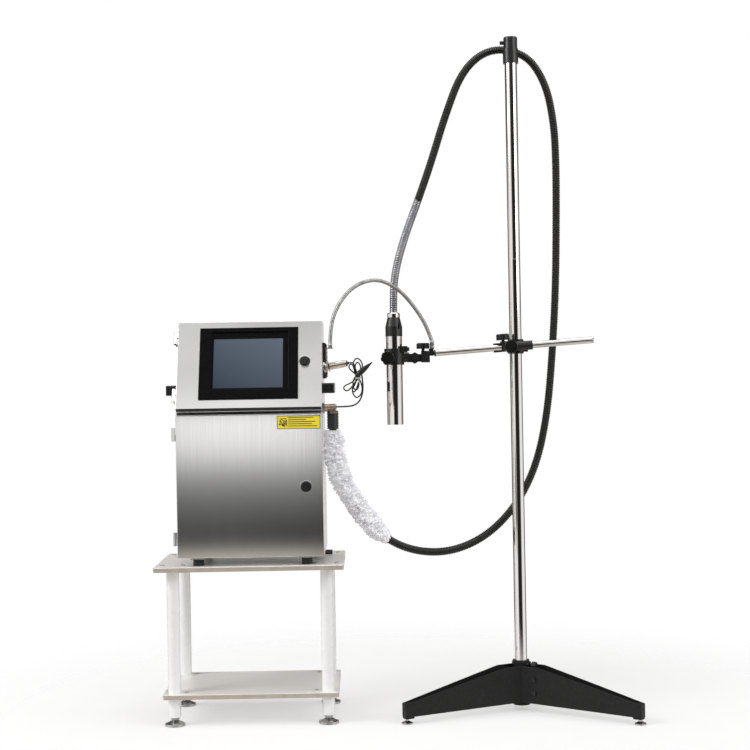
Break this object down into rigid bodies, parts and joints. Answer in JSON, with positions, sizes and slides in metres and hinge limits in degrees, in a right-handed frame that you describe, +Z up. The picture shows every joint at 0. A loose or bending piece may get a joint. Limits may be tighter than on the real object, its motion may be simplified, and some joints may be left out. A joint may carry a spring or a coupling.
{
  "type": "date code inkjet printer",
  "caption": "Stainless date coder cabinet with a touch screen on a shelved table, and a tripod mast whose boom holds the print head, fed by a looped umbilical.",
  "frame": {"origin": "on the floor, under the middle of the whole set's footprint", "axes": "+Z up along the mast; front of the cabinet and its doors towards -Y; the stand is on the +X side"},
  "size_m": [1.228, 0.5564, 1.762],
  "materials": {
    "brushed_stainless": "brushed stainless sheet",
    "polished_stainless": "mirror-polished stainless tube",
    "hinge_chrome": "bright chrome plate",
    "zinc_hardware": "zinc-plated steel",
    "table_plate": "satin stainless plate",
    "leg_white": "glossy white paint",
    "foot_chrome": "plated levelling foot",
    "black_powder": "black powder coat",
    "black_rubber": "moulded rubber",
    "black_plastic": "black moulded plastic, fine texture",
    "knob_plastic": "black knob plastic",
    "bezel_black": "black screen surround",
    "display_glass": "dark display behind touch glass",
    "conduit_black": "black corrugated conduit",
    "film_clear": "crinkled clear packing film",
    "cable_black": "black cable jacket",
    "gooseneck_steel": "spiral-wound steel hose",
    "sensor_nickel": "nickel-plated brass barrel",
    "connector_brass": "brass and black fittings",
    "nozzle_steel": "machined steel",
    "tank_white": "natural polyethylene",
    "pump_grey": "cast pump body",
    "supply_metal": "vented metal case",
    "board_green": "circuit board"
  },
  "bodies": {
    "base": {"cabinet_shell": "brushed_stainless", "rear_panel": "brushed_stainless", "cabinet_feet": "black_rubber", "side_handles": "black_plastic", "fan_cover": "black_plastic", "fan_frame": "black_plastic", "ink_tank": "tank_white", "solvent_tank": "tank_white", "fluid_bottles": "tank_white", "ink_pump_and_filter": "pump_grey", "power_supply": "supply_metal", "main_board": "board_green", "fixed_hinges": "hinge_chrome", "connectors": "connector_brass", "table_top": "table_plate", "table_shelf": "table_plate", "table_legs": "leg_white", "levelling_feet": "foot_chrome", "fasteners": "zinc_hardware", "tripod_sheets": "black_powder", "tripod_leg_ends": "black_powder", "tripod_hub": "black_powder", "mast": "polished_stainless", "mast_head_clip": "black_plastic", "conduit_loop": "conduit_black", "conduit_drop": "conduit_black", "film_wrap": "film_clear", "sensor_cable": "cable_black"},
    "control_door": {"control_door": "brushed_stainless", "control_door_hinges": "hinge_chrome", "control_lock_ring": "hinge_chrome", "screen_bezel": "bezel_black", "display_panel": "display_glass"},
    "control_lock": {"control_lock": "black_plastic"},
    "ink_door": {"ink_door": "brushed_stainless", "ink_door_hinges": "hinge_chrome", "ink_lock_ring": "hinge_chrome"},
    "ink_lock": {"ink_lock": "black_plastic"},
    "fan": {"fan_rotor": "black_plastic"},
    "mast_slider": {"mast_bushing": "black_plastic"},
    "clamp": {"mast_clamp": "black_plastic"},
    "boom_collar": {"boom_collar": "black_plastic"},
    "front_knob": {"front_clamp_knob": "knob_plastic"},
    "top_knob": {"top_clamp_knob": "knob_plastic"},
    "boom": {"boom": "polished_stainless", "boom_end_caps": "black_plastic", "swivel_block": "black_plastic", "gooseneck": "gooseneck_steel", "sensor_bracket": "zinc_hardware", "photo_sensor": "sensor_nickel", "sensor_hank": "cable_black", "inline_connector": "cable_black"},
    "swivel_knob": {"swivel_knob": "knob_plastic"},
    "link": {"swivel_link": "black_plastic"},
    "head_collar": {"head_collar": "black_plastic"},
    "head_knob": {"head_knob": "knob_plastic"},
    "head": {"head_tube": "polished_stainless", "nozzle_assembly": "nozzle_steel", "head_cap": "black_plastic"},
    "mast_lock_knob": {"mast_lock_knob": "knob_plastic"}
  },
  "joints": [
    {"name": "control_door_hinge", "type": "hinge", "parent": "base", "child": "control_door", "pos_m": [-0.5585, -0.21384, 0.8012], "axis": [0, -0.4226, -0.9063], "range_deg": [0, 110]},
    {"name": "control_lock_turn", "type": "hinge", "parent": "control_door", "child": "control_lock", "pos_m": [-0.225, -0.16845, 0.91983], "axis": [0, 0.9063, -0.4226], "range_deg": [0, 90]},
    {"name": "ink_door_hinge", "type": "hinge", "parent": "base", "child": "ink_door", "pos_m": [-0.5585, -0.213, 0.6075], "axis": [0, 0, -1], "range_deg": [0, 110]},
    {"name": "ink_lock_turn", "type": "hinge", "parent": "ink_door", "child": "ink_lock", "pos_m": [-0.225, -0.222, 0.604], "axis": [0, 1, 0], "range_deg": [0, 90]},
    {"name": "fan_spin", "type": "hinge", "parent": "base", "child": "fan", "pos_m": [-0.195, -0.01, 0.923], "axis": [1, 0, 0], "continuous": true},
    {"name": "mast_lock_screw", "type": "hinge", "parent": "base", "child": "mast_lock_knob", "pos_m": [0.35703, -0.09394, 0.12], "axis": [0.8192, -0.5736, 0], "range_deg": [0, 360]},
    {"name": "clamp_height", "type": "slide", "parent": "base", "child": "mast_slider", "axis": [0, 0, 1], "range_m": [-0.06, 0.12], "deforming": ["conduit_drop", "sensor_cable"]},
    {"name": "clamp_turn", "type": "hinge", "parent": "mast_slider", "child": "clamp", "pos_m": [0.32427, -0.071, 0.951], "axis": [0, 0, 1], "range_deg": [0, 25]},
    {"name": "boom_tilt", "type": "hinge", "parent": "clamp", "child": "boom_collar", "pos_m": [0.32427, -0.107, 0.951], "axis": [0, 1, 0], "range_deg": [-10, 10]},
    {"name": "front_screw", "type": "hinge", "parent": "boom_collar", "child": "front_knob", "pos_m": [0.30531, -0.12, 0.94974], "axis": [0, 1, 0], "range_deg": [0, 360]},
    {"name": "top_screw", "type": "hinge", "parent": "boom_collar", "child": "top_knob", "pos_m": [0.28828, -0.107, 0.96464], "axis": [-0.0663, 0, 0.9978], "range_deg": [0, 360]},
    {"name": "boom_slide", "type": "slide", "parent": "boom_collar", "child": "boom", "axis": [0.9978, 0, 0.0663], "range_m": [-0.04, 0.06]},
    {"name": "swivel_screw", "type": "hinge", "parent": "boom", "child": "swivel_knob", "pos_m": [0.08, -0.107, 0.95], "axis": [0, 0, 1], "range_deg": [0, 360]},
    {"name": "link_tilt", "type": "hinge", "parent": "boom", "child": "link", "pos_m": [0.058, -0.107, 0.925], "axis": [0, -1, 0], "range_deg": [-15, 15]},
    {"name": "head_roll", "type": "hinge", "parent": "link", "child": "head_collar", "pos_m": [0.03615, -0.107, 0.927], "axis": [-1, 0, 0], "range_deg": [-4, 20]},
    {"name": "head_screw", "type": "hinge", "parent": "head_collar", "child": "head_knob", "pos_m": [-0.013, -0.15, 0.9255], "axis": [0, 1, 0], "range_deg": [0, 360]},
    {"name": "head_slide", "type": "slide", "parent": "head_collar", "child": "head", "axis": [0, 0, 1], "range_m": [-0.022, 0.07]}
  ]
}
